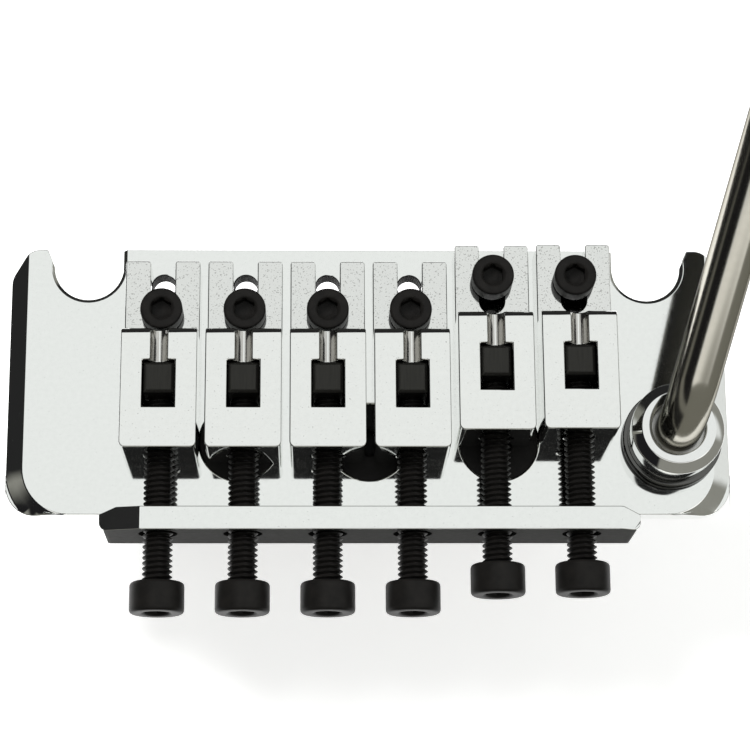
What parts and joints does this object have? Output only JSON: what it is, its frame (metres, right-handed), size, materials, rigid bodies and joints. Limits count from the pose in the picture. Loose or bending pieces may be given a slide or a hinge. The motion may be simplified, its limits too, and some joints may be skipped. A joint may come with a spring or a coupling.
{
  "type": "guitar tremolo bridge",
  "caption": "Locking guitar tremolo bridge: chromed plate with knife-edge pivot notches, sliding saddles with clamp blocks and lock screws, sustain block and swinging arm.",
  "frame": {"origin": "midway between the two pivot notches, on the top face of the plate", "axes": "+X along the pivot axis to the treble side, where the arm is; +Y to the guitar's neck; +Z away from the guitar's top"},
  "size_m": [0.1271, 0.156, 0.0768],
  "materials": {
    "plate_chrome": "mirror chrome plating over hardened steel",
    "saddle_chrome": "mirror chrome plating with fine specks",
    "arm_steel": "polished steel, olive-grey reflections",
    "collar_chrome": "polished turned chrome",
    "black_oxide": "oiled black oxide on steel screws",
    "clamp_steel": "dark hardened steel, satin",
    "block_steel": "milled steel, fine brushed lines",
    "nut_steel": "zinc-plated steel, satin",
    "bush_plastic": "natural nylon"
  },
  "bodies": {
    "bridge": {"base_plate": "plate_chrome", "sustain_block": "block_steel", "block_screws": "black_oxide", "arm_socket": "collar_chrome", "socket_washer": "nut_steel", "socket_nut": "nut_steel", "arm_bush_lower": "bush_plastic", "arm_bush_upper": "bush_plastic"},
    "collar": {"collar_nut": "collar_chrome"},
    "tremolo_arm": {"arm": "arm_steel", "arm_ring": "nut_steel"},
    "saddle_body_1": {"saddle_1": "saddle_chrome"},
    "clamp_body_1": {"clamp_block_1": "clamp_steel"},
    "lock_body_1": {"lock_screw_1": "black_oxide"},
    "hold_body_1": {"hold_down_screw_1": "black_oxide"},
    "saddle_body_2": {"saddle_2": "saddle_chrome"},
    "clamp_body_2": {"clamp_block_2": "clamp_steel"},
    "lock_body_2": {"lock_screw_2": "black_oxide"},
    "hold_body_2": {"hold_down_screw_2": "black_oxide"},
    "saddle_body_3": {"saddle_3": "saddle_chrome"},
    "clamp_body_3": {"clamp_block_3": "clamp_steel"},
    "lock_body_3": {"lock_screw_3": "black_oxide"},
    "hold_body_3": {"hold_down_screw_3": "black_oxide"},
    "saddle_body_4": {"saddle_4": "saddle_chrome"},
    "clamp_body_4": {"clamp_block_4": "clamp_steel"},
    "lock_body_4": {"lock_screw_4": "black_oxide"},
    "hold_body_4": {"hold_down_screw_4": "black_oxide"},
    "saddle_body_5": {"saddle_5": "saddle_chrome"},
    "clamp_body_5": {"clamp_block_5": "clamp_steel"},
    "lock_body_5": {"lock_screw_5": "black_oxide"},
    "hold_body_5": {"hold_down_screw_5": "black_oxide"},
    "saddle_body_6": {"saddle_6": "saddle_chrome"},
    "clamp_body_6": {"clamp_block_6": "clamp_steel"},
    "lock_body_6": {"lock_screw_6": "black_oxide"},
    "hold_body_6": {"hold_down_screw_6": "black_oxide"}
  },
  "joints": [
    {"name": "saddle_slide_1", "type": "slide", "parent": "bridge", "child": "saddle_body_1", "axis": [0, 1, 0], "range_m": [-0.004, 0.0004]},
    {"name": "clamp_slide_1", "type": "slide", "parent": "saddle_body_1", "child": "clamp_body_1", "axis": [0, 1, 0], "range_m": [-0.002, 0]},
    {"name": "lock_turn_1", "type": "hinge", "parent": "clamp_body_1", "child": "lock_body_1", "pos_m": [-0.0271, -0.0434, 0.0043], "axis": [0, 1, 0], "range_deg": [-1029, 0]},
    {"name": "hold_turn_1", "type": "hinge", "parent": "bridge", "child": "hold_body_1", "pos_m": [-0.0271, -0.0075, 0.003], "axis": [0, 0, 1], "range_deg": [0, 360]},
    {"name": "saddle_slide_2", "type": "slide", "parent": "bridge", "child": "saddle_body_2", "axis": [0, 1, 0], "range_m": [-0.004, 0.0004]},
    {"name": "clamp_slide_2", "type": "slide", "parent": "saddle_body_2", "child": "clamp_body_2", "axis": [0, 1, 0], "range_m": [-0.002, 0]},
    {"name": "lock_turn_2", "type": "hinge", "parent": "clamp_body_2", "child": "lock_body_2", "pos_m": [-0.01626, -0.0434, 0.0043], "axis": [0, 1, 0], "range_deg": [-1029, 0]},
    {"name": "hold_turn_2", "type": "hinge", "parent": "bridge", "child": "hold_body_2", "pos_m": [-0.01626, -0.0075, 0.003], "axis": [0, 0, 1], "range_deg": [0, 360]},
    {"name": "saddle_slide_3", "type": "slide", "parent": "bridge", "child": "saddle_body_3", "axis": [0, 1, 0], "range_m": [-0.004, 0.0004]},
    {"name": "clamp_slide_3", "type": "slide", "parent": "saddle_body_3", "child": "clamp_body_3", "axis": [0, 1, 0], "range_m": [-0.002, 0]},
    {"name": "lock_turn_3", "type": "hinge", "parent": "clamp_body_3", "child": "lock_body_3", "pos_m": [-0.00542, -0.0434, 0.0043], "axis": [0, 1, 0], "range_deg": [-1029, 0]},
    {"name": "hold_turn_3", "type": "hinge", "parent": "bridge", "child": "hold_body_3", "pos_m": [-0.00542, -0.0075, 0.003], "axis": [0, 0, 1], "range_deg": [0, 360]},
    {"name": "saddle_slide_4", "type": "slide", "parent": "bridge", "child": "saddle_body_4", "axis": [0, 1, 0], "range_m": [-0.004, 0.0004]},
    {"name": "clamp_slide_4", "type": "slide", "parent": "saddle_body_4", "child": "clamp_body_4", "axis": [0, 1, 0], "range_m": [-0.002, 0]},
    {"name": "lock_turn_4", "type": "hinge", "parent": "clamp_body_4", "child": "lock_body_4", "pos_m": [0.00542, -0.0434, 0.0043], "axis": [0, 1, 0], "range_deg": [-1029, 0]},
    {"name": "hold_turn_4", "type": "hinge", "parent": "bridge", "child": "hold_body_4", "pos_m": [0.00542, -0.0075, 0.003], "axis": [0, 0, 1], "range_deg": [0, 360]},
    {"name": "saddle_slide_5", "type": "slide", "parent": "bridge", "child": "saddle_body_5", "axis": [0, 1, 0], "range_m": [-0.0021, 0.0025]},
    {"name": "clamp_slide_5", "type": "slide", "parent": "saddle_body_5", "child": "clamp_body_5", "axis": [0, 1, 0], "range_m": [-0.002, 0]},
    {"name": "lock_turn_5", "type": "hinge", "parent": "clamp_body_5", "child": "lock_body_5", "pos_m": [0.01626, -0.0411, 0.0043], "axis": [0, 1, 0], "range_deg": [-1029, 0]},
    {"name": "hold_turn_5", "type": "hinge", "parent": "bridge", "child": "hold_body_5", "pos_m": [0.01626, -0.0028, 0.003], "axis": [0, 0, 1], "range_deg": [0, 360]},
    {"name": "saddle_slide_6", "type": "slide", "parent": "bridge", "child": "saddle_body_6", "axis": [0, 1, 0], "range_m": [-0.0021, 0.0025]},
    {"name": "clamp_slide_6", "type": "slide", "parent": "saddle_body_6", "child": "clamp_body_6", "axis": [0, 1, 0], "range_m": [-0.002, 0]},
    {"name": "lock_turn_6", "type": "hinge", "parent": "clamp_body_6", "child": "lock_body_6", "pos_m": [0.0271, -0.04095, 0.0043], "axis": [0, 1, 0], "range_deg": [-1029, 0]},
    {"name": "hold_turn_6", "type": "hinge", "parent": "bridge", "child": "hold_body_6", "pos_m": [0.0271, -0.0028, 0.003], "axis": [0, 0, 1], "range_deg": [0, 360]},
    {"name": "collar_turn", "type": "hinge", "parent": "bridge", "child": "collar", "pos_m": [0.0397, -0.02375, 0.0045], "axis": [0, 0, 1], "range_deg": [0, 360]},
    {"name": "arm_swing", "type": "hinge", "parent": "bridge", "child": "tremolo_arm", "pos_m": [0.0397, -0.02375, 0.005], "axis": [0, 0, 1], "continuous": true}
  ],
  "couplings": [
    {"joint": "lock_turn_1", "follows": "clamp_slide_1", "rad_per_m": 8976},
    {"joint": "lock_turn_2", "follows": "clamp_slide_2", "rad_per_m": 8976},
    {"joint": "lock_turn_3", "follows": "clamp_slide_3", "rad_per_m": 8976},
    {"joint": "lock_turn_4", "follows": "clamp_slide_4", "rad_per_m": 8976},
    {"joint": "lock_turn_5", "follows": "clamp_slide_5", "rad_per_m": 8976},
    {"joint": "lock_turn_6", "follows": "clamp_slide_6", "rad_per_m": 8976}
  ]
}
